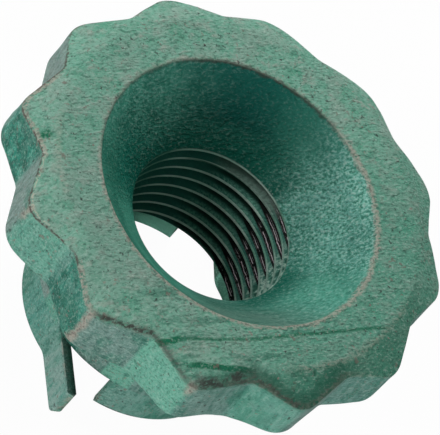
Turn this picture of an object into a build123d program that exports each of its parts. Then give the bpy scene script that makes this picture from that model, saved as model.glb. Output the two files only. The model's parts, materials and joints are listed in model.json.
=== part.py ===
"""Axle nut: a twelve-point nut with a conical seat in front and a thin locking crown behind.

The nut stands on the end of its crown with the conical seat facing up. +Z runs along the
bore towards the seat, and the origin is at the centre of the crown's end. Two of the nut's
twelve points lie on the X axis. Lengths are in millimetres and angles in degrees.
"""
import os
from math import cos, radians, tan

from build123d import *

# Thread M22 x 2: the bore is at the thread's minor diameter
thread_diameter = 22.0
thread_pitch = 2.0
minor_diameter = thread_diameter - 1.0825 * thread_pitch

# Heights, the crown's two measured from its end
total_height = 28.6
head_height = 8.6
recess_depth = 5.5
slot_depth = 4.9

# Twelve-point head: two hexagons of one width, half a step apart
across_flats = 46.8
point_radius = 3.3
point_count = 12
face_diameter = 46.0
bevel_angle = 27.0
back_edge_radius = 1.0

# Conical seat in the front face
seat_diameter = 34.7
seat_angle = 45.0
seat_edge_radius = 0.4

# Hub behind the head, and the crown that its recess leaves
hub_diameter = 27.9
hub_root_radius = 1.2
crown_wall = 1.0

# Slots in the crown, each left by a strip of its wall that is bent outwards as a tab
slot_edge_azimuths = (291.3, 108.2)
slot_width_angle = 36.7
bend_angle = 26.0
bend_radius = 3.0
tab_length = 7.4
tab_corner_radius = 0.8

# Sizes that follow from the ones above
hub_radius = hub_diameter / 2
crown_inner_radius = hub_radius - crown_wall
crown_mid_radius = hub_radius - crown_wall / 2
minor_radius = minor_diameter / 2
seat_radius = seat_diameter / 2
face_radius = face_diameter / 2
point_reach = across_flats / 2 / cos(radians(360 / point_count))
bevel_height = (point_reach - face_radius) * tan(radians(bevel_angle))
throat_height = total_height - (seat_radius - minor_radius) / tan(radians(seat_angle))
head_bottom = total_height - head_height

# Outline of the head in plan, with its points rounded
with BuildSketch(Plane.XY.offset(head_bottom)) as head_plan:
    for turn in (0, 360 / point_count):
        RegularPolygon(radius=across_flats / 2, side_count=point_count // 2, major_radius=False, rotation=turn)
    points = head_plan.vertices().sort_by_distance((0, 0, head_bottom))[-point_count:]
    fillet(points, radius=point_radius)

# Half section of the turned blank, which bevels the points at the front of the head
with BuildSketch(Plane.XZ) as blank_section:
    with BuildLine():
        Polyline(
            (0, head_bottom),
            (point_reach, head_bottom),
            (point_reach, total_height - bevel_height),
            (face_radius, total_height),
            (0, total_height),
            close=True,
        )
    make_face()

# Half section of the way through the nut: the recess inside the crown, the bore and the seat
with BuildSketch(Plane.XZ) as way_section:
    with BuildLine():
        Polyline(
            (0, 0),
            (crown_inner_radius, 0),
            (crown_inner_radius, recess_depth),
            (minor_radius, recess_depth),
            (minor_radius, throat_height),
            (seat_radius, total_height),
            (0, total_height),
            close=True,
        )
    make_face()

# Gap in the crown's wall, whose far edge lies on the X axis
with BuildSketch() as slot_plan:
    with BuildLine():
        inner = CenterArc((0, 0), crown_inner_radius - crown_wall, 0, -slot_width_angle)
        outer = CenterArc((0, 0), hub_radius + crown_wall, 0, -slot_width_angle)
        Line(inner @ 0, outer @ 0)
        Line(inner @ 1, outer @ 1)
    make_face()

# Tab: the strip from that gap, turned outwards by a short bend and then straight
with BuildSketch() as tab_plan:
    with BuildLine():
        wall = CenterArc((0, 0), crown_mid_radius, 0, -slot_width_angle)
        bend = JernArc(start=wall @ 1, tangent=-(wall % 1), radius=bend_radius, arc_size=-bend_angle)
        strip = Line(bend @ 1, bend @ 1 + (bend % 1) * tab_length)
    trace([bend, strip], line_width=crown_wall)

# Crown in plan, with its slots and tabs
slot_places = [Location((0, 0), azimuth) for azimuth in slot_edge_azimuths]
with BuildSketch() as crown_plan:
    Circle(hub_radius)
    Circle(crown_inner_radius, mode=Mode.SUBTRACT)
    with Locations(slot_places):
        add(slot_plan.sketch, mode=Mode.SUBTRACT)
    with Locations(slot_places):
        add(tab_plan.sketch)

with BuildPart() as axle_nut:
    # Head
    extrude(head_plan.sketch, amount=head_height)
    revolve(blank_section.sketch, axis=Axis.Z, mode=Mode.INTERSECT)

    # Hub, with a round root under the head
    with BuildSketch(Plane.XY.offset(slot_depth)):
        Circle(hub_radius)
    extrude(amount=head_bottom - slot_depth)
    head_back = axle_nut.faces().filter_by(Axis.Z).sort_by(Axis.Z)[-2]
    fillet(head_back.inner_wires()[0].edges(), radius=hub_root_radius)
    head_back = axle_nut.faces().filter_by(Axis.Z).sort_by(Axis.Z)[-2]
    fillet(head_back.outer_wire().edges(), radius=back_edge_radius)

    # Way through the nut
    revolve(way_section.sketch, axis=Axis.Z, mode=Mode.SUBTRACT)
    mouth = axle_nut.edges().group_by(Axis.Z)[-1].sort_by_distance((0, 0, total_height))[0]
    fillet(mouth, radius=seat_edge_radius)

    # Crown and its bent tabs
    extrude(crown_plan.sketch, amount=slot_depth)
    tab_tips = axle_nut.edges().group_by(Axis.Z)[0].sort_by_distance((0, 0, 0))[-len(slot_places):]
    fillet(tab_tips, radius=tab_corner_radius)

axle_nut.part.label = "axle_nut"

os.makedirs("parts", exist_ok=True)
export_step(axle_nut.part, "parts/axle_nut.step")
print(f"volume {axle_nut.part.volume:.0f} mm3, box {axle_nut.part.bounding_box().size}")
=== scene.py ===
"""Looks of the axle nut: one forged and painted piece with its real thread, worn edges and bent tabs."""
import json
import math
from functools import reduce

import bmesh
import bpy
import numpy as np
from mathutils import Matrix, Quaternion, Vector, noise


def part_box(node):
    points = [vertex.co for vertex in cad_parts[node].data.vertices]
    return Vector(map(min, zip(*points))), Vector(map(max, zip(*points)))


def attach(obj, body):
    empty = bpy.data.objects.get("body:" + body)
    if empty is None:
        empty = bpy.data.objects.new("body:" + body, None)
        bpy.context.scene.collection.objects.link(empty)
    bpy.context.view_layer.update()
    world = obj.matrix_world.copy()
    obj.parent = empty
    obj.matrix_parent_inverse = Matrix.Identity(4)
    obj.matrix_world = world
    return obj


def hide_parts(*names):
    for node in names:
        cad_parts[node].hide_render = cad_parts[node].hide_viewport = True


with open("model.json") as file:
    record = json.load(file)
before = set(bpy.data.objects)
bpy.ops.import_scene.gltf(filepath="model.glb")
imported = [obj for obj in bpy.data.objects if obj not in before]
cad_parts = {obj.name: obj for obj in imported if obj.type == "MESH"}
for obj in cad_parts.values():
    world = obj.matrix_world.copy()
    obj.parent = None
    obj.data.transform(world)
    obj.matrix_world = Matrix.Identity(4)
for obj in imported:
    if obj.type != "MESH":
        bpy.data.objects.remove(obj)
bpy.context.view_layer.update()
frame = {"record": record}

# ---------------------------------------------------------------- sizes, in millimetres and degrees
mounts = {mount["name"]: mount for mount in frame["record"]["mounts"]}
total_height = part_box("axle_nut")[1].z * 1000
crest_radius = mounts["thread"]["dims"]["r_mm"]
thread_pitch = 2.0
crest_height = 7.12          # of one crest, at crest_azimuth
crest_azimuth = 105.0
groove_depth = 1.13
groove_run_out = 0.45
chamfer_radius = 10.35       # of the bore's edge in the recess

# Half a pitch of the thread's section: distance from a crest's middle, and depth as a share of the groove's
section_away = np.array([0, 0.13, 0.22, 0.8, 0.93, 1.0])
section_depth = np.array([0, 0, 0.06, 0.97, 1.0, 1.0])
crest_half = section_away[1]

seat_radius = 17.35
face_radius = 22.75
bevel_angle = 27.0
head_height = 8.6
hub_radius = 13.9
inner_radius = 13.1
slot_floor = 4.9
recess_floor = 5.5
throat_fillet = 0.3
mouth_fillet = 0.45
bevel_fillet = 3.2
front_fillet = 0.28
back_fillet = 1.0
hub_fillet = 1.3
crown_fillet = 0.14
recess_fillet = 0.25

head_bottom = total_height - head_height
wall_radius = (hub_radius + inner_radius) / 2
throat_height = total_height - seat_radius + crest_radius      # the seat's cone stands at 45 degrees
bore_top = throat_height - throat_fillet

# The head's outline: two hexagons with rounded points, blended in the valleys and a little off centre
point_count = 12
sector = 360 / point_count
flat_distance = 23.42
point_radius = 3.3
valley_blend = 0.3
valley_rise = 0.9
outline_shift = (0.13, -0.04)
broad_swell = (78.0, 32.0, 0.26)      # azimuth, half width and height

# Where the forged side swells or is worn: azimuth, half width, and the height at its front and its back
swells = (
    (25.0, 6.0, -0.11, 0.0), (42.0, 6.0, 0.26, 0.2), (68.0, 4.0, 0.25, 0.2), (83.0, 5.0, 0.14, 0.1),
    (113.0, 4.0, 0.24, 0.2), (142.0, 4.0, 0.17, 0.1), (152.0, 5.0, -0.15, 0.0), (202.0, 4.5, 0.0, 0.65),
    (211.0, 4.0, 0.2, 0.1), (245.0, 5.0, 0.0, 0.3), (303.0, 5.0, 0.0, 0.25), (315.0, 4.0, 0.0, 0.33),
    (337.0, 10.0, 0.0, -0.17), (357.0, 5.0, 0.0, -0.15),
)
back_swell_start = 1.5       # below the face
back_swell_fade = 6.0
back_swell_clear = 2.0       # of the hub

# Each slot: azimuth of its straight edge, azimuth where its tab leaves the wall, the tab's bend and length,
# and the share by which the inner half of the tab's wall is thicker
slots = ((291.3, 255.3, 27.4, 7.3, 0.9), (108.2, 70.8, 27.4, 7.3, 0.0))
bend_radius = 3.0
bend_steps = 7
tip_corner = 0.8             # radius of the rounded corner at a tab's tip
straight_runs = (0.6, 1.6, 2.8, 4.0, 5.2)      # stations along a tab's straight stretch
corner_angles = (18, 36, 54, 70, 82, 90)       # and round its corner

welds_per_mm = 2000          # vertices closer than half a thousandth of a millimetre are one
hair = 0.01                  # less than the distance between any two rows
zone_blend = 0.1             # over which one zone gives way to the next
rim_reach = 3.0              # how far from its end the crown is still near an edge
hub_rim = 0.6                # the hub counts as this far from the crown's edges
recess_rim = 1.0             # and the recess as this far

# ---------------------------------------------------------------- columns of the mesh, by azimuth
# From a point of the head to the next valley, finer at both
half_sector = (0, 0.75, 1.5, 2.3, 3.0, 3.7, 4.8, 6.3, 8.0, 9.8, 11.5, 12.9, 13.9, 14.5, 15)
offsets = half_sector + tuple(sector - offset for offset in half_sector[-2:0:-1])
columns = np.array([sector * k + offset for k in range(point_count) for offset in offsets])
for slot_edge, tab_root, *_ in slots:
    for azimuth in (slot_edge, tab_root):
        columns[np.abs(columns - azimuth).argmin()] = azimuth
turns = np.append(columns, 360.0)

# What each vertex carries besides its place: distances from the edges, in mm, and zones, 0 to 1
DISTANCES = ("mouth", "face_edge", "front_edge", "back_edge", "ridge", "throat", "rim")
ZONES = ("bowl", "bore", "groove", "side", "head", "cut")
FIELDS = DISTANCES + ZONES
FAR = 50.0
PLAIN = np.array((FAR,) * len(DISTANCES) + (0.0,) * len(ZONES))


def turned(azimuth, centre):
    """Degrees from centre to azimuth, between -180 and 180."""
    return (azimuth - centre + 180) % 360 - 180


def hump(azimuth, centre, width):
    """1 at centre, and next to nothing twice the width away from it."""
    return np.exp(-(turned(azimuth, centre) / width) ** 2)


def capped(values):
    """Cut off below 0 and above 1."""
    return np.clip(values, 0, 1)


def in_slot(azimuth):
    """True strictly between a slot's two edges."""
    return any(root < azimuth % 360 < edge for edge, root, *_ in slots)


def from_slot(azimuth):
    """Distance round the wall to the nearest straight edge of a slot."""
    return wall_radius * math.radians(min(abs(turned(azimuth, edge)) for edge, *_ in slots))


def outline_radius(azimuth):
    """Distance of the twelve-point outline from the axis."""
    half_side = math.radians(sector)
    centre = (flat_distance - point_radius) / math.cos(half_side)
    tangent = math.atan2(point_radius * math.sin(half_side), centre + point_radius * math.cos(half_side))
    best = 0.0
    for turn in (0.0, sector):
        off_point = math.radians(abs((azimuth - turn + sector) % (2 * sector) - sector))
        if off_point < tangent:
            sideways = centre * math.sin(off_point)
            reach = centre * math.cos(off_point) + math.sqrt(point_radius ** 2 - sideways ** 2)
        else:
            reach = flat_distance / math.cos(half_side - off_point)
        blend = max(valley_blend - abs(reach - best), 0.0)
        best = max(best, reach) + valley_rise * blend ** 2
    angle = math.radians(azimuth)
    swell_centre, swell_width, swell_height = broad_swell
    best += swell_height * hump(azimuth, swell_centre, swell_width)
    return best + outline_shift[0] * math.cos(angle) + outline_shift[1] * math.sin(angle)


def side_swell(azimuth):
    """How far the forging stands out, or in below zero, at the front and the back of the head's side."""
    weights = [hump(azimuth, centre, width) for centre, width, _, _ in swells]
    return [sum(weight * swell[end] for weight, swell in zip(weights, swells)) for end in (2, 3)]


def rounded(corners):
    """Half-section polyline, the distance along it of each point, and that of each corner.
    A corner is (r, z, fillet radius, fillet segments, segments of the run after it)."""
    arcs = []
    for i, (r, z, radius, segments, _) in enumerate(corners):
        here = np.array((r, z), float)
        if radius == 0 or i in (0, len(corners) - 1):
            arcs.append([here])
            continue
        before = np.array(corners[i - 1][:2], float) - here
        after = np.array(corners[i + 1][:2], float) - here
        before /= np.linalg.norm(before)
        after /= np.linalg.norm(after)
        half = math.acos(float(np.clip(before @ after, -1, 1))) / 2
        centre = here + (before + after) / np.linalg.norm(before + after) * radius / math.sin(half)
        start = here + before * radius / math.tan(half) - centre
        stop = here + after * radius / math.tan(half) - centre
        sweep = math.pi - 2 * half
        arcs.append([centre + (math.sin((1 - k / segments) * sweep) * start
                               + math.sin(k / segments * sweep) * stop) / math.sin(sweep)
                     for k in range(segments + 1)])
    points = []
    middles = []
    for i, arc in enumerate(arcs):
        middles.append(len(points) + (len(arc) - 1) // 2)
        points.extend(arc)
        if i + 1 < len(arcs):
            count = corners[i][4]
            points.extend(arc[-1] + (arcs[i + 1][0] - arc[-1]) * k / count for k in range(1, count))
    points = np.array(points)
    along = np.append(0, np.cumsum(np.linalg.norm(np.diff(points, axis=0), axis=1)))
    return points, along, [along[middle] for middle in middles]


def ring(section, azimuths):
    """(rows, columns, 2) radius and height to (rows, columns, 3)."""
    angles = np.radians(azimuths)[None, :]
    radius = section[..., 0]
    return np.stack([radius * np.cos(angles), radius * np.sin(angles), section[..., 1]], -1)


def with_fields(points, **named):
    """Adds the fields to an array of points."""
    extra = np.tile(PLAIN, points.shape[:-1] + (1,))
    for name, values in named.items():
        extra[..., FIELDS.index(name)] = values
    return np.concatenate([points, extra], -1)


class Mesh:
    """Quads and triangles on vertices welded by place: the first vertex at a place gives it its fields."""

    def __init__(self):
        self.index = {}
        self.vertices = []
        self.faces = []

    def vertex(self, values):
        key = tuple(round(float(value) * welds_per_mm) for value in values[:3])
        if key not in self.index:
            self.index[key] = len(self.vertices)
            self.vertices.append(np.array(values, float))
        return self.index[key]

    def face(self, *corners):
        """Adds a face, without the corners that are welded into one."""
        kept = list(dict.fromkeys(corners))
        if len(kept) > 2:
            self.faces.append(kept)

    def grid(self, points, skip=()):
        """Faces between neighbours. skip holds the first column of each gap."""
        ids = [[self.vertex(point) for point in row] for row in points]
        for j in range(points.shape[1] - 1):
            if j in skip:
                continue
            for i in range(points.shape[0] - 1):
                self.face(ids[i][j], ids[i][j + 1], ids[i + 1][j + 1], ids[i + 1][j])

    def ladder(self, section):
        """Closes a cut through the wall: the section runs down one side and up the other."""
        ids = [self.vertex(point) for point in section]
        count = len(ids)
        for k in range(count // 2):
            self.face(ids[k], ids[k + 1], ids[count - 2 - k], ids[count - 1 - k])


# ---------------------------------------------------------------- thread
def crest_at(azimuth):
    """Height of a crest of the left-hand thread."""
    return crest_height - thread_pitch * (azimuth - crest_azimuth) / 360


def bore_radius(azimuth, z):
    """Radius of the threaded bore. The groove runs out below the seat, and a chamfer opens the other end."""
    away = np.abs((z - crest_at(azimuth) + thread_pitch / 2) % thread_pitch - thread_pitch / 2)
    run_out = capped((bore_top - z) / groove_run_out)
    groove = np.interp(away, section_away, section_depth) * groove_depth * run_out
    return np.maximum(crest_radius + groove, chamfer_radius - (z - recess_floor))


def thread_grid():
    """Rows follow the helix, and fan out of a plain circle at both ends."""
    phase = (recess_floor - crest_at(columns) - crest_half) % thread_pitch
    seam = int(np.minimum(phase, thread_pitch - phase).argmin())
    azimuths = columns[(seam - np.arange(len(columns) + 1)) % len(columns)]
    part = ((azimuths[0] - azimuths) % 360) / 360
    part[-1] = 1.0
    corners = section_away[1:-1]
    steps = np.append(corners, thread_pitch - corners[::-1]) - crest_half
    turn_count = math.ceil((bore_top - recess_floor) / thread_pitch)
    starts = [recess_floor + thread_pitch * k + step for k in range(turn_count) for step in steps]
    starts = [start for start in starts if start < bore_top - hair] + [bore_top]
    fan = len(steps)
    rows = [recess_floor + (start - recess_floor) * part for start in starts[:fan]]
    rows += [start + thread_pitch * part for start in starts[:-fan]]
    rows += [bore_top - (bore_top - start) * (1 - part) for start in starts[-fan:]]
    z = np.array(rows)
    r = np.array([[bore_radius(azimuth, height) for azimuth, height in zip(azimuths, row)] for row in z])
    groove = capped((r - crest_radius) / groove_depth)
    return with_fields(ring(np.stack([r, z], -1), azimuths), groove=groove, bore=1.0)


# ---------------------------------------------------------------- seat, head, hub and recess
def body_column(azimuth):
    """From the seat's cone, over the head and down the hub to the level of the slot floor."""
    front, back = side_swell(azimuth)
    reach = outline_radius(azimuth) + front
    bevel_bottom = total_height - (reach - face_radius) * math.tan(math.radians(bevel_angle))
    points, along, corners = rounded([
        (crest_radius, bore_top, 0, 0, 1),
        (crest_radius, throat_height, throat_fillet, 3, 22),
        (seat_radius, total_height, mouth_fillet, 5, 12),
        (face_radius, total_height, bevel_fillet, 5, 4),
        (reach, bevel_bottom, front_fillet, 4, 10),
        (reach, head_bottom, back_fillet, 6, 10),
        (hub_radius, head_bottom, hub_fillet, 6, 16),
        (hub_radius, slot_floor, 0, 0, 0),
    ])
    throat, mouth, face_edge, front_edge, back_edge = (along - corner for corner in corners[1:6])
    below_front = capped((total_height - back_swell_start - points[:, 1]) / back_swell_fade)
    off_hub = capped((points[:, 0] - hub_radius - back_swell_clear) / back_swell_fade)
    points[:, 0] += (back - front) * below_front * off_hub
    off_point = abs((azimuth + sector / 2) % sector - sector / 2)
    on_head = points[:, 0] >= face_radius
    return with_fields(
        points, mouth=mouth, face_edge=face_edge, front_edge=front_edge, back_edge=back_edge,
        ridge=np.where(on_head, points[:, 0] * math.radians(off_point), FAR), throat=throat,
        rim=np.maximum(points[:, 1] - slot_floor, 0) + hub_rim,
        bowl=capped(-mouth / zone_blend), bore=capped((zone_blend / 2 - throat) / zone_blend),
        side=capped(front_edge / (2 * zone_blend)), head=1.0)


def recess_column(azimuth):
    """Up the crown's inside from the level of the slot floor, and over the recess's floor to the bore."""
    edge = float(bore_radius(azimuth, recess_floor))
    return rounded([
        (inner_radius, slot_floor, 0, 0, 1),
        (inner_radius, recess_floor, recess_fillet, 3, 4),
        (edge, recess_floor, 0, 0, 0),
    ])[0]


mesh = Mesh()
mesh.grid(thread_grid())
body = np.array([body_column(azimuth) for azimuth in turns]).transpose(1, 0, 2)
mesh.grid(np.concatenate([ring(body[..., :2], turns), body[..., 2:]], -1))
recess = np.array([recess_column(azimuth) for azimuth in turns]).transpose(1, 0, 2)
mesh.grid(with_fields(ring(recess, turns), rim=recess_rim))

# ---------------------------------------------------------------- crown, with its slots and tabs
# Down the outside from the slot floor, round the end and up the inside to the same level
crown = rounded([
    (hub_radius, slot_floor, 0, 0, 6),
    (hub_radius, 0, crown_fillet, 3, 2),
    (inner_radius, 0, crown_fillet, 3, 6),
    (inner_radius, slot_floor, 0, 0, 0),
])[0]
from_end = np.minimum(np.abs(crown[:, 1]), rim_reach)
outer = crown[:, 0] > wall_radius
inner_top = ~outer & (crown[:, 1] > slot_floor - hair)

crown_ring = ring(np.repeat(crown[:, None, :], len(turns), 1), turns)
slot_away = np.array([from_slot(azimuth) for azimuth in turns])
crown_rim = np.minimum(from_end[:, None], slot_away[None, :])
gap_columns = {j for j in range(len(columns)) if in_slot((turns[j] + turns[j + 1]) / 2)}
mesh.grid(with_fields(crown_ring, rim=crown_rim, side=outer[:, None]), skip=gap_columns)
mesh.grid(with_fields(crown_ring[[0, -1]], rim=0.0), skip=set(range(len(columns))) - gap_columns)


def wall_cut(azimuth):
    """The crown's section at one azimuth."""
    points = ring(crown[:, None, :], np.array([azimuth]))[:, 0]
    return with_fields(points, rim=from_end, side=outer)


def level_step(heading, distance=1.0):
    """A step on the level, its heading in radians."""
    return distance * np.array((math.cos(heading), math.sin(heading)))


def tab_stations(root, bend, length):
    """Along a tab: the wall's middle, its heading, its lower edge's rise, and what is left to the tip."""
    heading = math.radians(root) + math.pi / 2
    point = wall_radius * level_step(math.radians(root))
    stations = [(point, heading, 0.0, FAR)]
    turn = math.radians(bend) / bend_steps
    for _ in range(bend_steps):
        point = point + level_step(heading - turn / 2, 2 * bend_radius * math.sin(turn / 2))
        heading -= turn
        stations.append((point, heading, 0.0, FAR))
    corner_start = length - tip_corner
    runs = [*straight_runs, corner_start]
    runs += [length - tip_corner * (1 - math.sin(math.radians(angle))) for angle in corner_angles]
    for run in runs:
        past = max(run - corner_start, 0)
        lift = tip_corner - math.sqrt(max(tip_corner ** 2 - past ** 2, 0))
        stations.append((point + level_step(heading, run), heading, lift, length - run))
    return stations


def tab(root, bend, length, thickening):
    """The strip of wall that leaves the crown at root, bends outwards and runs straight to its tip."""
    across = crown[:, :1] - wall_radius
    strips = []
    for place, heading, lift, left in tab_stations(root, bend, length):
        thickened = across + np.minimum(across, 0) * thickening * (left < FAR)
        flat = place - level_step(heading + math.pi / 2) * thickened
        height = lift + crown[:, 1:] * (slot_floor - lift) / slot_floor
        rim = np.minimum(np.minimum(from_end, slot_floor - crown[:, 1]), left)
        # the top of the inner wall is the cut edge, painted in shade under the head
        strips.append(with_fields(np.concatenate([flat, height], 1), rim=rim, side=outer, cut=inner_top))
    grid = np.array(strips).transpose(1, 0, 2)
    grid[:, 0] = wall_cut(root)
    cut_edge = np.array([grid[-1], grid[0]])
    mesh.grid(grid)
    mesh.grid(cut_edge)
    mesh.ladder(grid[:, -1])


for slot_edge, tab_root, bend, length, thickening in slots:
    tab(tab_root, bend, length, thickening)
    mesh.ladder(wall_cut(slot_edge))

# ---------------------------------------------------------------- the piece, and the forging's unevenness
vertices = np.array(mesh.vertices)
places = vertices[:, :3]
heights = places[:, 2]
radii = np.hypot(places[:, 0], places[:, 1])
azimuths = np.degrees(np.arctan2(places[:, 1], places[:, 0]))

data = bpy.data.meshes.new("axle_nut_body")
data.from_pydata((places / 1000).tolist(), [], mesh.faces)
shape = bmesh.new()
shape.from_mesh(data)
bmesh.ops.recalc_face_normals(shape, faces=shape.faces)
shape.normal_update()
normals = np.array([vertex.normal[:] for vertex in shape.verts])
shape.to_mesh(data)
shape.free()


def wave(size, height, seed):
    """Smooth noise of about this height, whose lumps are size mm across."""
    shift = Vector((seed, 2.7 * seed, -seed))
    return height * np.array([noise.noise(Vector(place) / size + shift) for place in places])


# Lumps of three sizes on the head and hub, clear of the bore, and small ones on the crown, clear of its end
lumps_clear = 1.2            # of the bore
lumps_fade = (1.5, 2.0)      # away from the bore, and up from the slot floor
end_clear = 0.3
off_bore = capped((radii - crest_radius - lumps_clear) / lumps_fade[0])
off_crown = capped((heights - slot_floor) / lumps_fade[1])
on_crown = capped(slot_floor + 1 - heights) * (heights > end_clear)
lumps = wave(6.0, 0.07, 1.3) + wave(2.2, 0.035, 4.1) + wave(1.0, 0.018, 7.7)
rise = lumps * off_bore * off_crown + wave(1.5, 0.02, 9.2) * on_crown
moved = places + normals * rise[:, None]
moved[:, 2] = np.clip(moved[:, 2], 0, total_height)
data.vertices.foreach_set("co", (moved / 1000).astype(np.float32).ravel())


# ---------------------------------------------------------------- where the paint changes round the nut
def near(centre, width):
    """1 at one azimuth, and next to nothing twice the width away from it."""
    return hump(azimuths, centre, width)


def stretch(start, stop, soft):
    """1 between two azimuths, with soft ends."""
    away = np.abs(turned(azimuths, (start + stop) / 2))
    return capped(((stop - start) / 2 - away) / soft + 0.5)


fields = dict(zip(FIELDS, vertices[:, 3:].T))

# Face and bevel
fields["greener"] = stretch(-44, 62, 30)
fields["brown"] = capped(near(258, 34) + 0.3 * near(200, 40))
fields["grained"] = stretch(272, 356, 24)
fields["dim_bevel"] = stretch(-36, 24, 12)
fields["dim_rim"] = stretch(303, 346, 10)
fields["creased"] = stretch(212, 238, 6) + stretch(-32, 18, 8)

# The head's outer edge
fields["soiled"] = (stretch(271, 285, 3) + 0.55 * stretch(285, 300, 3) + 0.45 * stretch(300, 314, 3)
                    + 0.6 * stretch(314, 329, 3) + 0.25 * stretch(329, 345, 4))
fields["dirty_valley"] = stretch(299, 314, 6)
fields["edge_line"] = stretch(180, 260, 4) + 0.6 * stretch(130, 180, 4)
fields["pale_line"] = stretch(226, 246, 5)
fields["pink_edge"] = 0.9 * stretch(198, 226, 4) + 0.9 * stretch(258, 270, 3) + 0.2 * stretch(310, 352, 6)
fields["worn_tip"] = capped(near(239, 5) + 0.6 * near(184, 5) + near(299, 4))
fields["worn_ridge"] = near(270, 4)

# The head's side, facet by facet, then the hub and the crown
# Painted light on some facets, and painted shade, deep green, on others
fields["lit_facet"] = capped(0.4 * stretch(195, 208, 2) + 0.7 * stretch(240, 254, 2)
                              + stretch(285, 300, 1) + 0.45 * stretch(315, 330, 2))
fields["grey_facet"] = capped(stretch(180, 195, 2) + 0.7 * stretch(195, 209, 3) + stretch(225, 240, 2)
                              + 0.6 * stretch(270, 285, 1) + 0.5 * stretch(301, 314, 2)
                              + 0.7 * stretch(330, 344, 2))
fields["shaded_green_facet"] = capped(stretch(210, 224, 2) + 0.7 * stretch(256, 269, 2))
fields["wrinkled"] = 0.6 * stretch(240, 254, 2) + 0.8 * stretch(271, 284, 2) + 0.5 * stretch(300, 315, 2)
# Greener hub, and painted light where the near tab's shadow falls on it
fields["green_and_lit_hub"] = near(240, 14) + near(279, 8)
fields["dark_end"] = stretch(295, 316, 4)
tab_clear = 0.6              # of the hub's outside
tab_top = 6.0
recess_clear = (1.0, 0.3)    # of the bore's chamfer, and of the recess's floor
fields["tab"] = (heights < tab_top) * (radii > hub_radius + tab_clear) * 1.0
# Painted light on the crown's inside, which the lamps hardly reach
within_wall = (radii < wall_radius) & (radii > chamfer_radius + recess_clear[0])
fields["lit_crown_inside"] = within_wall * (heights < recess_floor - recess_clear[1]) * 1.0

# The seat's bowl, its throat and its mouth
shade_start, shade_full = 10, 13      # radii
# Painted shade: darker, deeper green on the bowl's far wall
fields["painted_shade"] = near(122, 32) * capped((radii - shade_start) / (shade_full - shade_start))
# Pebbles, whose pale marks are painted glints where the lamps catch them
fields["pebbles_and_glints"] = capped(stretch(26, 82, 24) + 0.2 * stretch(-30, 26, 24) + 0.22 * stretch(110, 200, 30))
# Painted light on the bowl's lit side, strongest where the lamps glint
fields["lit_bowl"] = 0.5 * stretch(-24, 88, 24) + 0.3 * stretch(30, 88, 20) + 0.6 * near(56, 16)
fields["dull"] = stretch(186, 224, 22)
# Painted sheen, greyer and browner, on the bowl's near wall, which also carries dark streaks
fields["sheen_and_streaks"] = stretch(292, 342, 24)
fields["dim_lip"] = near(38, 12) + near(88, 16)
# Painted shade towards the throat
fields["shaded_throat"] = capped(stretch(92, 215, 30) + 0.8 * near(350, 22) + 0.8 * near(80, 9)
                              + 0.8 * stretch(-30, 18, 16) + 0.45 * stretch(18, 60, 16))
fields["mouth_line"] = 1 - 0.6 * stretch(84, 222, 20)
fields["pink_mouth"] = stretch(-12, 84, 14)
# Dirt and painted shade on the far side of the seat's mouth
fields["dirty_shaded_mouth"] = stretch(88, 152, 14) + 0.55 * stretch(152, 218, 14)

# The thread
# Painted shade on the thread's far side, and round the dark reflection by the glints
fields["shaded_thread"] = capped(stretch(100, 215, 24) + 0.8 * near(70, 12) + 0.4 * near(50, 8))
# Less painted highlight on the crests on the shaded side
fields["shaded_crests"] = stretch(155, 215, 16)
# Painted light on the thread where the lamps reach it, in full and by half
fields["lit_thread"] = stretch(-40, 44, 14)
fields["half_lit"] = stretch(76, 118, 14)
# Painted glints on the thread
fields["glinting"] = stretch(46, 72, 7)
# Painted light on the thread's last turn below the throat
fields["lit_top_turn"] = stretch(70, 118, 16)
fields["top_green"] = stretch(55, 140, 18)

# Up a groove's flank, 0 near the root to 1 on the crest. A lens is what lies below an arch on it: painted
# black as a dark reflection, with painted glints
root_share = 0.88
lens_azimuth = 58
lens_reach = (20, 28)        # before and after its azimuth
arch_height = 0.8
arch_drop = 0.04
fields["up_flank"] = 1 - fields["groove"] / root_share
aside = (azimuths - lens_azimuth) / np.where(azimuths < lens_azimuth, *lens_reach)
arch = arch_height * np.sqrt(capped(1 - aside ** 2)) - arch_drop
fields["lens"] = np.where(fields["bore"] > 0.5, arch - fields["up_flank"], -1)

for name, values in fields.items():
    attribute = data.attributes.new(name, "FLOAT", "POINT")
    attribute.data.foreach_set("value", values.astype(np.float32))
data.polygons.foreach_set("use_smooth", [True] * len(data.polygons))
data.update()
nut = bpy.data.objects.new("axle_nut_body", data)
bpy.context.scene.collection.objects.link(nut)
weighted = nut.modifiers.new("weighted_normals", "WEIGHTED_NORMAL")
weighted.weight = 70


# ---------------------------------------------------------------- shader nodes
def linear(red, green, blue):
    """A colour as seen, 0 to 255, to the linear values that shaders take."""
    shares = [channel / 255 for channel in (red, green, blue)]
    return tuple(c / 12.92 if c <= 0.04045 else ((c + 0.055) / 1.055) ** 2.4 for c in shares) + (1.0,)


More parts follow.
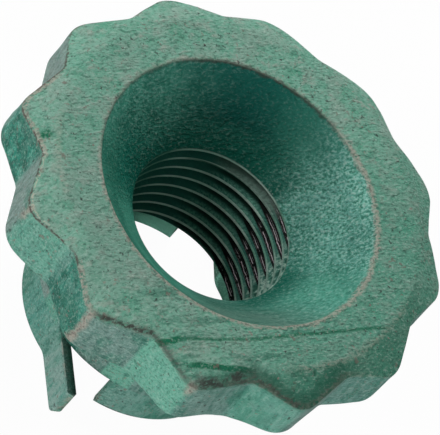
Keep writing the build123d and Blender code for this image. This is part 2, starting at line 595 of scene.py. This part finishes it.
class Graph:
    """Short names for the paint's shader nodes. A value is a number, a tuple or another node's socket."""

    def __init__(self, tree):
        self.tree = tree
        position = self.add("TexCoord", {})["Object"]
        self.mm = self.vector("MULTIPLY", position, (1000.0, 1000.0, 1000.0))

    def put(self, socket, value):
        if isinstance(value, bpy.types.NodeSocket):
            self.tree.links.new(value, socket)
        else:
            socket.default_value = value

    def add(self, kind, inputs, **settings):
        """The outputs of a new node. inputs holds its values by name or number of the socket."""
        node = self.tree.nodes.new("ShaderNode" + kind)
        for name, value in settings.items():
            setattr(node, name, value)
        for name, value in inputs.items():
            self.put(node.inputs[name], value)
        return node.outputs

    def vector(self, operation, *values):
        outputs = self.add("VectorMath", dict(enumerate(values)), operation=operation)
        return outputs["Value" if operation in ("DOT_PRODUCT", "LENGTH") else "Vector"]

    def math(self, operation, *values):
        return self.add("Math", dict(enumerate(values)), operation=operation)[0]

    def plus(self, *values):
        return reduce(lambda a, b: self.math("ADD", a, b), values)

    def times(self, *values):
        return reduce(lambda a, b: self.math("MULTIPLY", a, b), values)

    def most(self, *values):
        """The largest of its values."""
        return reduce(lambda a, b: self.math("MAXIMUM", a, b), values)

    def without(self, mask, share=1.0):
        """1 less a share of a mask."""
        return self.math("SUBTRACT", 1.0, self.times(mask, share) if share < 1 else mask)

    def field(self, name):
        """What the vertices carry under a name."""
        return self.add("Attribute", {}, attribute_name=name)["Fac"]

    def noise(self, size, detail, rough, at=None):
        """Noise whose lumps are about size mm across, 0 to 1."""
        inputs = {"Vector": at or self.mm, "Scale": 1.0 / size, "Detail": detail, "Roughness": rough}
        return self.add("TexNoise", inputs)["Fac"]

    def scaled(self, x, y, z):
        """Places scaled along each axis. Noise there is drawn out where the scale is small."""
        return self.vector("MULTIPLY", self.mm, (x, y, z))

    def level(self, heading, scale=1.0):
        """Distance along a level direction, scaled, and distance across it."""
        angle = math.radians(heading)
        ahead = (math.cos(angle) * scale, math.sin(angle) * scale, 0.0)
        sideways = (math.sin(angle), -math.cos(angle), 0.0)
        along = self.vector("DOT_PRODUCT", self.mm, ahead)
        across = self.vector("DOT_PRODUCT", self.mm, sideways)
        return along, across

    def height(self):
        return self.vector("DOT_PRODUCT", self.mm, (0.0, 0.0, 1.0))

    def swept(self, heading, scale):
        """Places scaled along one level direction, so that noise there is drawn out along it."""
        along, across = self.level(heading, scale)
        return self.add("CombineXYZ", {0: along, 1: across, 2: self.height()})[0]

    def ramp(self, value, start, stop):
        """0 at start to 1 at stop, smooth between. start may be the larger."""
        rising = start < stop
        inputs = {"Value": value, "From Min": min(start, stop), "From Max": max(start, stop),
                  "To Min": 0.0 if rising else 1.0, "To Max": 1.0 if rising else 0.0}
        return self.add("MapRange", inputs, interpolation_type="SMOOTHSTEP")["Result"]

    def band(self, value, start, stop, soft):
        """1 between start and stop, with soft edges."""
        rise = self.ramp(value, start - soft, start + soft)
        return self.times(rise, self.ramp(value, stop + soft, stop - soft))

    def mix(self, base, top, factor):
        """From one colour to another. Sockets 0, 6 and 7 take the factor and the colours, and 2 gives one."""
        return self.add("Mix", {0: factor, 6: base, 7: top}, data_type="RGBA")[2]

    def lay(self, base, *layers):
        """Lays colours over a base. A layer is a colour as seen, and masks whose product is its strength."""
        for colour, *masks in layers:
            base = self.mix(base, linear(*colour), self.times(*masks))
        return base

    def streak(self, heading, offset, start, stop, half_width):
        """A narrow, slightly wavering mark at an offset from the axis, the same at every height."""
        waver_length = 3.5
        waver = 0.5
        soft_side = 0.12
        soft_end = 0.8
        along, across = self.level(heading)
        across = self.plus(across, self.times(self.noise(waver_length, 3.0, 0.6), waver), -waver / 2)
        line = self.band(across, offset - half_width, offset + half_width, soft_side)
        return self.times(line, self.band(along, start, stop, soft_end))

    def spot(self, x, y, radius):
        """A round mark with a ragged edge, the same at every height."""
        notch_size = 0.9
        flat = self.scaled(1.0, 1.0, 0.0)
        away = self.vector("LENGTH", self.vector("SUBTRACT", flat, (x, y, 0.0)))
        ragged_away = self.plus(away, self.times(self.noise(notch_size, 3.0, 0.55), radius))
        return self.ramp(ragged_away, radius * 1.9, radius * 1.1)

    def bump(self, height, depth, **under):
        """A normal from a height, 0 to 1, and its depth in metres. under may hold the Normal below it."""
        return self.add("Bump", {"Height": height, "Distance": depth, **under})["Normal"]


# ---------------------------------------------------------------- noises and masks of the paint
paint = bpy.data.materials.new("worn_green_paint")
paint.use_nodes = True
g = Graph(paint.node_tree)

mouth, face_edge, front_edge, back_edge, ridge, throat, rim = map(g.field, DISTANCES)
bowl, bore, groove, side, head, cut = map(g.field, ZONES)
head = g.ramp(head, 0.9, 1.0)
behind = g.without(head)
outside = g.without(bowl)
pebbles_and_glints = g.times(g.field("pebbles_and_glints"), bowl)

brush_heading = 60.4         # degrees: the way the paint was brushed
grit_depth, lump_depth = 0.00034, 0.0004      # metres

# Noises: size in mm, detail and roughness
elsewhere = g.vector("ADD", g.mm, (31.0, 7.0, 13.0))
further = g.vector("ADD", g.mm, (-11.0, 23.0, 5.0))
broad = g.noise(7.0, 4.0, 0.6)
blot = g.noise(4.2, 4.0, 0.6, further)
patch = g.noise(2.2, 5.0, 0.65)
scuff = g.noise(1.3, 3.0, 0.5, further)
fine = g.noise(0.5, 3.0, 0.6)
grain = g.noise(0.27, 2.0, 0.5)
speck = g.noise(0.6, 2.0, 0.6, elsewhere)
brush = g.noise(0.7, 3.0, 0.6, g.scaled(1.0, 1.0, 0.3))
relief = g.noise(0.75, 4.0, 0.65, g.scaled(1.0, 1.0, 0.45))
strokes = g.noise(0.3, 2.0, 0.6, g.swept(brush_heading, 0.5))
rough_paint = g.noise(1.3, 5.0, 0.7, g.swept(brush_heading, 0.6))
layers = g.noise(1.5, 4.0, 0.6, g.swept(brush_heading, 0.16))

# How far an edge's marks stray from it, in mm, and the darker paint inside the head's front edge
ragged = g.plus(g.times(g.plus(patch, -0.5), 1.1), g.times(g.plus(fine, -0.5), 0.8))
ragged_mouth = g.plus(mouth, ragged)
dark_rim = g.times(g.ramp(g.plus(front_edge, g.times(patch, 3.0)), -1.4, 0.2), g.field("dim_rim"))

# Streaks of deeper paint on the face: heading, offset from the axis, start, stop, half width and strength
streaks = (
    (55.8, 19.0, -12.8, -4.0, 0.2, 0.85),
    (61.5, 18.5, -6.0, 12.5, 0.2, 0.85),
    (60.4, 17.85, -17.0, -13.9, 0.36, 1.0),
    (47.4, 23.25, -8.8, -1.2, 0.3, 1.0),
)


# ---------------------------------------------------------------- colours of the paint, each part by itself
def face_paint():
    """Face and bevel: grey-green, browner on one side and streaked on another."""
    grained = g.field("grained")
    streaked = g.most(*[g.times(g.streak(*place), strength) for *place, strength in streaks])
    dab = g.times(g.spot(-18.5, -15.0, 0.6), g.ramp(speck, 0.36, 0.46))      # x, y and radius in mm
    chips = g.most(g.spot(20.9, -10.3, 0.28), g.streak(60.0, 23.4, -1.5, 1.2, 0.05))
    dark_bevel = g.times(g.ramp(g.plus(face_edge, patch), 0.3, 0.8), g.field("dim_bevel"))
    return g.lay(
        linear(116, 176, 153),
        ((88, 160, 134), g.ramp(patch, 0.48, 0.66)),                        # deeper patches
        ((138, 172, 156), g.ramp(blot, 0.46, 0.6), 0.7),                    # greyer blots
        ((156, 168, 156), g.ramp(rough_paint, 0.52, 0.66), 0.7),            # raised paint
        ((78, 158, 128), g.ramp(rough_paint, 0.46, 0.36), 0.6),             # and the hollows in it
        ((64, 142, 118), g.field("greener"), 0.5),
        ((126, 158, 144), g.field("brown"), g.ramp(broad, 0.3, 0.6), 0.5),
        ((40, 112, 90), g.ramp(layers, 0.5, 0.62), grained, 0.6),           # long dark and pale brush marks
        ((108, 160, 140), g.ramp(layers, 0.46, 0.36), grained, 0.6),
        ((0, 108, 76), g.most(streaked, dab)),
        ((20, 60, 48), chips),
        ((50, 118, 94), dark_bevel, 0.6),
        ((20, 86, 66), dark_rim, 0.75),
    )


def side_paint():
    """Side, hub and crown: greener, brushed along the axis and different on each facet, with painted light on
    some facets and painted shade on others.
    """
    shaded_green_facet = g.times(g.field("shaded_green_facet"), head)
    tab_zone = g.field("tab")
    return g.lay(
        linear(92, 144, 132),
        ((66, 134, 118), g.ramp(patch, 0.44, 0.6)),                         # deeper patches
        ((130, 144, 140), g.field("grey_facet"), head, 0.75),
        # painted shade, deep green, on some facets
        ((22, 136, 114), shaded_green_facet, 0.9),
        ((8, 80, 66), g.ramp(patch, 0.5, 0.58), g.ramp(rough_paint, 0.42, 0.54), shaded_green_facet, 0.85),
        ((64, 168, 144), g.ramp(relief, 0.52, 0.62), shaded_green_facet, 0.5),     # relief of the green facets
        ((4, 72, 60), g.ramp(relief, 0.46, 0.38), shaded_green_facet, 0.6),
        ((6, 84, 72), g.ramp(blot, 0.48, 0.54), shaded_green_facet, 0.55),
        ((40, 104, 90), g.ramp(relief, 0.44, 0.36), 0.45),                  # relief everywhere
        ((156, 196, 184), g.ramp(relief, 0.56, 0.66), 0.3),
        ((120, 166, 152), behind, 0.45),                                    # paler hub and crown
        # greener, and painted light in the tab's shadow
        ((60, 150, 134), behind, g.field("green_and_lit_hub"), 0.5),
        ((36, 122, 100), g.ramp(blot, 0.54, 0.62), 0.6),
        ((130, 166, 156), g.ramp(brush, 0.5, 0.62), g.without(shaded_green_facet, 0.65), 0.45),
        ((40, 104, 90), g.ramp(brush, 0.46, 0.36), g.without(tab_zone), 0.5),
        # painted light on some facets
        ((114, 184, 160), g.field("lit_facet"), g.ramp(relief, 0.24, 0.5), head, 0.75),
        ((56, 90, 82), g.ramp(relief, 0.5, 0.62), g.field("wrinkled"), head, 0.45),
        ((146, 174, 166), g.ramp(brush, 0.3, 0.56), tab_zone, 0.75),
    )


def bowl_paint():
    """Bowl: smooth with painted shade on one side; pebbles, painted light and painted glints on the other."""
    sheen_and_streaks = g.field("sheen_and_streaks")
    return g.lay(
        linear(68, 150, 128),
        ((44, 124, 104), g.ramp(broad, 0.4, 0.6)),
        # painted light on the lit side
        ((106, 182, 160), g.field("lit_bowl"), 0.55),
        ((168, 226, 214), pebbles_and_glints, g.ramp(strokes, 0.42, 0.66), 0.9),       # pale pebbles, painted glints
        ((116, 182, 168), pebbles_and_glints, g.ramp(rough_paint, 0.46, 0.6), 0.7),
        # painted shade on the far wall
        ((0, 85, 76), g.field("painted_shade"), 0.92),
        ((0, 112, 94), g.field("dull"), g.ramp(throat, 8.0, 3.5), 0.8),
        ((70, 104, 94), sheen_and_streaks, 0.6),                                     # painted sheen, greyer and browner
        ((130, 118, 114), sheen_and_streaks, g.ramp(throat, 3.5, 7.0), 0.14),
        ((24, 92, 74), g.ramp(layers, 0.5, 0.6), sheen_and_streaks, 0.45),
        # painted shade towards the throat
        ((0, 92, 76), g.ramp(throat, 5.0, 0.5), g.field("shaded_throat"), 0.92),
        ((28, 90, 78), g.ramp(throat, 5.5, 8.0), g.field("dim_lip"), 0.4),
    )


def with_grain(colour):
    """Short marks, all the same way, with fine grain and specks, weaker in the bowl's smooth part, and
    painted light on the crown's inside.
    """
    strength = g.plus(g.times(g.plus(outside, g.times(pebbles_and_glints, 1.3)), 0.55), 0.45)
    strength = g.times(strength, g.without(g.times(g.field("painted_shade"), bowl), 0.65),
                       g.without(dark_rim, 0.7), g.without(g.field("tab"), 0.4))
    scuffed = g.times(g.ramp(scuff, 0.665, 0.7), g.ramp(fine, 0.4, 0.5), outside, g.without(dark_rim))
    return g.lay(
        colour,
        ((22, 76, 62), g.ramp(strokes, 0.46, 0.33), strength, 0.46),        # dark and pale strokes
        ((176, 200, 188), g.ramp(strokes, 0.54, 0.7), strength, 0.4),
        ((30, 90, 74), g.ramp(fine, 0.44, 0.3), strength, 0.3),             # dark and pale grains
        ((168, 190, 178), g.ramp(grain, 0.56, 0.76), strength, 0.4),
        ((46, 56, 52), g.ramp(speck, 0.66, 0.72), outside, 0.8),            # dark and rusty specks
        ((148, 124, 118), g.ramp(speck, 0.36, 0.28), outside, g.ramp(patch, 0.44, 0.56), 0.7),
        ((118, 100, 92), scuffed, 0.65),
        # painted light on the crown's inside
        ((168, 250, 224), g.field("lit_crown_inside")),
    )


def wear():
    """How far the paint is gone: round the seat's mouth, on some points and edges, and round the crown."""
    thin_line = g.times(g.band(mouth, -0.12, 0.12, 0.08), g.ramp(fine, 0.36, 0.5), 0.75)
    fuzz = g.times(g.band(ragged_mouth, -0.05, 0.42, 0.25), g.ramp(strokes, 0.36, 0.5), 0.7)
    mouth_line = g.times(g.most(thin_line, fuzz), g.field("mouth_line"))
    pink_mouth = g.times(g.band(ragged_mouth, -0.35, 0.35, 0.2), g.field("pink_mouth"),
                         g.ramp(strokes, 0.34, 0.52), 0.7)
    worn_tip = g.times(g.field("worn_tip"), g.ramp(g.plus(front_edge, g.times(patch, 3.0)), 4.2, 2.6))
    on_ridge = g.times(g.ramp(g.plus(ridge, g.times(patch, 1.6)), 1.6, 0.9), g.ramp(front_edge, -0.9, 0.0))
    tips = g.times(on_ridge, g.most(worn_tip, g.field("worn_ridge")), g.ramp(fine, 0.24, 0.5), 0.8)
    at_back = g.times(g.band(back_edge, -0.2, 0.3, 0.12), g.ramp(patch, 0.46, 0.56), 0.7)
    at_front = g.times(g.band(g.plus(front_edge, g.times(ragged, 0.6)), -0.6, 0.15, 0.15),
                       g.field("pink_edge"), g.ramp(strokes, 0.38, 0.5), 0.75)
    crease = g.times(g.band(g.plus(face_edge, ragged), -0.35, 0.35, 0.35),
                     g.field("creased"), g.ramp(strokes, 0.36, 0.54), 0.3)
    on_head = g.times(g.most(mouth_line, pink_mouth, tips, at_back, at_front, crease), head)
    on_crown = g.times(g.ramp(rim, 0.26, 0.06), g.ramp(patch, 0.5, 0.6), 0.5)
    return g.most(on_head, on_crown)


def with_grime(colour):
    """Dirt on the crown's end, and dirt with painted shade at the seat's mouth. Along the outer edge it is a
    thin line, then a pale one inside it, and further round a wide ragged band with a fainter one about it.
    The tabs' cut edges get painted shade."""
    crown_end = g.times(g.ramp(rim, 0.3, 0.12), g.ramp(patch, 0.4, 0.5), behind, g.field("dark_end"))
    dirty_shaded_mouth = g.times(g.band(ragged_mouth, -0.3, 0.15, 0.15), g.field("dirty_shaded_mouth"), head)
    wavering = g.plus(front_edge, g.times(ragged, 0.7))
    thin = g.times(g.band(wavering, -0.12, 0.16, 0.1), g.field("edge_line"),
                   g.ramp(patch, 0.36, 0.46), g.ramp(fine, 0.36, 0.5))
    pale = g.times(g.band(wavering, -0.46, -0.26, 0.08), g.field("pale_line"), g.ramp(strokes, 0.42, 0.54))
    ragged_edge = g.plus(front_edge, ragged)
    soiled = g.times(g.field("soiled"), head)
    halo = g.times(g.band(ragged_edge, -0.9, 0.1, 0.4), soiled, g.ramp(strokes, 0.36, 0.54))
    thick = g.times(g.band(ragged_edge, -0.62, -0.04, 0.24), soiled,
                    g.ramp(strokes, 0.28, 0.46), g.ramp(fine, 0.34, 0.48))
    valley = g.times(g.band(ragged_edge, -1.5, 0.1, 0.45), g.field("dirty_valley"), head,
                     g.ramp(strokes, 0.28, 0.5), g.ramp(patch, 0.34, 0.5))
    return g.lay(
        colour,
        ((22, 30, 27), crown_end, 0.85),
        # dirt and painted shade at the mouth
        ((58, 60, 54), dirty_shaded_mouth, 0.7),
        ((74, 56, 52), thin, 0.8),
        ((200, 192, 172), pale, 0.65),
        ((96, 92, 82), halo, 0.6),
        ((44, 42, 40), g.most(thick, valley), 0.85),
        ((20, 66, 54), g.ramp(cut, 0.03, 0.12), 0.85),                      # painted shade on the tabs' cut edges, under the head
    )


def thread_paint():
    """Thread: painted highlights on the crests, and dark in the grooves, partly painted shade."""
    lit, half_lit, glinting = map(g.field, ("lit_thread", "half_lit", "glinting"))
    up_flank, lens = map(g.field, ("up_flank", "lens"))
    rake = g.noise(0.5, 3.0, 0.6, g.scaled(1.0, 0.5, 0.35))
    along_thread = g.noise(0.5, 3.0, 0.6, g.scaled(0.4, 0.4, 1.0))
    waves = g.math("SINE", g.plus(g.times(lens, 30.0), g.times(along_thread, 12.0)))
    glints = g.times(g.ramp(waves, 0.25, 0.6), g.band(lens, 0.1, 0.42, 0.05), glinting,
                     g.ramp(along_thread, 0.4, 0.48))
    # dark roots, partly painted shade, with painted light where the thread is lit
    root = g.lay(linear(6, 20, 17), ((88, 122, 110), lit))
    flank = g.mix(linear(88, 152, 134), root, g.ramp(g.plus(groove, g.times(rake, 0.3)), 0.35, 1.0))
    flank = g.lay(
        flank,
        # painted shade
        ((42, 120, 106), g.field("shaded_thread"), 0.92),
        ((10, 50, 40), g.ramp(up_flank, 0.6, 0.2), half_lit, 0.8),          # painted shade low on a flank, then painted light
        ((122, 190, 168), g.ramp(up_flank, 0.35, 0.75), half_lit, g.ramp(grain, 0.36, 0.6), 0.8),
        ((206, 236, 222), g.ramp(rake, 0.5, 0.57), lit, 0.8),               # pale and deep scratches, in painted light
        ((16, 84, 66), g.ramp(rake, 0.47, 0.4), lit, 0.75),
        ((2, 8, 7), g.ramp(lens, -0.04, 0.05)),                             # a black lens of painted dark reflection, and painted glints in it
        ((250, 232, 240), glints),
    )
    # Painted highlight on the crests, greener where the thread glints and weaker on the shaded side
    crest = g.lay(
        linear(226, 250, 238),
        ((70, 170, 138), glinting, 0.7),
        ((120, 176, 158), g.field("shaded_crests")),
    )
    # Near the throat, a grey stretch of painted light and a green one under it
    lit_grey_turn = g.band(g.height(), throat_height - 2.0, throat_height - 0.35, 0.12)
    green_turn = g.band(g.height(), throat_height - 2.8, throat_height - 2.05, 0.1)
    return g.lay(
        g.mix(crest, flank, g.ramp(groove, 0.02, 0.07)),
        # painted light on the lit side
        ((132, 172, 156), lit, g.ramp(groove, 0.2, 0.0), 0.8),
        ((128, 150, 140), lit_grey_turn, g.field("lit_top_turn"), 0.8),
        ((16, 104, 82), green_turn, g.field("top_green"), 0.9),
    )


worn = wear()
bare_metal = g.lay(linear(176, 166, 154), ((118, 104, 96), g.ramp(fine, 0.48, 0.64)))
colour = g.mix(face_paint(), side_paint(), side)
colour = with_grain(g.mix(colour, bowl_paint(), bowl))
colour = with_grime(g.mix(colour, bare_metal, worn))
colour = g.mix(colour, thread_paint(), bore)

# Smoother where the thread glints, and rougher in the bowl and where worn
glint = g.times(bore, g.field("glinting"))
rough = g.plus(g.times(fine, 0.3), 0.42, g.times(glint, -0.2), g.times(bowl, 0.12), g.times(worn, 0.08))
grit = g.bump(g.plus(g.times(fine, 0.6), g.times(strokes, 0.8)), grit_depth)
bsdf = paint.node_tree.nodes["Principled BSDF"]
g.put(bsdf.inputs["Base Color"], colour)
g.put(bsdf.inputs["Roughness"], rough)
g.put(bsdf.inputs["Specular IOR Level"], g.plus(g.times(bowl, -0.15), 0.25))
g.put(bsdf.inputs["Normal"], g.bump(rough_paint, lump_depth, Normal=grit))
data.materials.append(paint)

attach(nut, "root")
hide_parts("axle_nut")


# ---------------------------------------------------------------- floor and backdrop
def show_camera(tree, usual, shown, share, output):
    """Camera rays see a share of another shader, and all other rays only the usual one."""
    ray = tree.nodes.new("ShaderNodeLightPath")
    part = tree.nodes.new("ShaderNodeMath")
    part.operation = "MULTIPLY"
    part.inputs[1].default_value = share
    choice = tree.nodes.new("ShaderNodeMixShader")
    tree.links.new(ray.outputs["Is Camera Ray"], part.inputs[0])
    tree.links.new(part.outputs[0], choice.inputs[0])
    tree.links.new(usual.outputs[0], choice.inputs[1])
    tree.links.new(shown.outputs[0], choice.inputs[2])
    tree.links.new(choice.outputs[0], output.inputs["Surface"])


bpy.ops.mesh.primitive_plane_add(size=4, location=(0, 0, 0))
floor = bpy.context.object
floor.name = "floor"
white = bpy.data.materials.new("white_floor")
white.use_nodes = True
floor_tree = white.node_tree
ground = floor_tree.nodes["Principled BSDF"]
ground.inputs["Base Color"].default_value = (0.8, 0.8, 0.8, 1)
ground.inputs["Roughness"].default_value = 0.9
floor_glow = floor_tree.nodes.new("ShaderNodeEmission")
floor_glow_share = 0.97      # the rest is lit, so that a faint shadow shows
show_camera(floor_tree, ground, floor_glow, floor_glow_share, floor_tree.nodes["Material Output"])
floor.data.materials.append(white)

ambient_strength = 0.12
world = bpy.data.worlds.new("studio")
world.use_nodes = True
world_tree = world.node_tree
light = world_tree.nodes["Background"]
light.inputs["Color"].default_value = (1, 1, 1, 1)
light.inputs["Strength"].default_value = ambient_strength
backdrop = world_tree.nodes.new("ShaderNodeBackground")
backdrop.inputs["Color"].default_value = (1, 1, 1, 1)
show_camera(world_tree, light, backdrop, 1.0, world_tree.nodes["World Output"])
bpy.context.scene.world = world

# ---------------------------------------------------------------- lamps and camera, in metres
lamp_distance = 0.7
# Name, azimuth, elevation, size and power of each lamp
lamps = (
    ("top", 110, 45, 0.3, 2.7),
    ("left", 208, 38, 0.3, 1.6),
    ("side_170", 170, 6, 0.12, 1.1),
    ("side_257", 257, 6, 0.12, 1.0),
    ("side_290", 290, 6, 0.12, 1.0),
    ("side_322", 322, 6, 0.12, 1.3),
)


def direction(azimuth, elevation):
    """Unit vector away from the origin."""
    turn, rise = math.radians(azimuth), math.radians(elevation)
    return Vector((math.cos(turn) * math.cos(rise), math.sin(turn) * math.cos(rise), math.sin(rise)))


for name, azimuth, elevation, size, power in lamps:
    area = bpy.data.lights.new(name, "AREA")
    area.size = size
    area.energy = power
    lamp = bpy.data.objects.new(name, area)
    lamp.location = direction(azimuth, elevation) * lamp_distance
    lamp.rotation_euler = direction(azimuth, elevation).to_track_quat("Z", "Y").to_euler()
    bpy.context.scene.collection.objects.link(lamp)

# The camera's direction from the nut, and its turn about the line of sight
camera_azimuth = 276.8294
camera_elevation = 47.981
camera_roll = 42.0862
camera_place = Vector((0.0449458, -0.3733469, 0.4402799))
camera_data = bpy.data.cameras.new("camera")
camera_data.sensor_width = 36
camera_data.lens = 407.03
camera_data.clip_start = 0.01
camera = bpy.data.objects.new("camera", camera_data)
level_view = direction(camera_azimuth, camera_elevation).to_track_quat("Z", "Y")
rolled_view = level_view @ Quaternion((0, 0, 1), math.radians(camera_roll))
camera.matrix_world = Matrix.Translation(camera_place) @ rolled_view.to_matrix().to_4x4()
bpy.context.scene.collection.objects.link(camera)
bpy.context.scene.camera = camera
bpy.context.scene.view_settings.view_transform = "Standard"
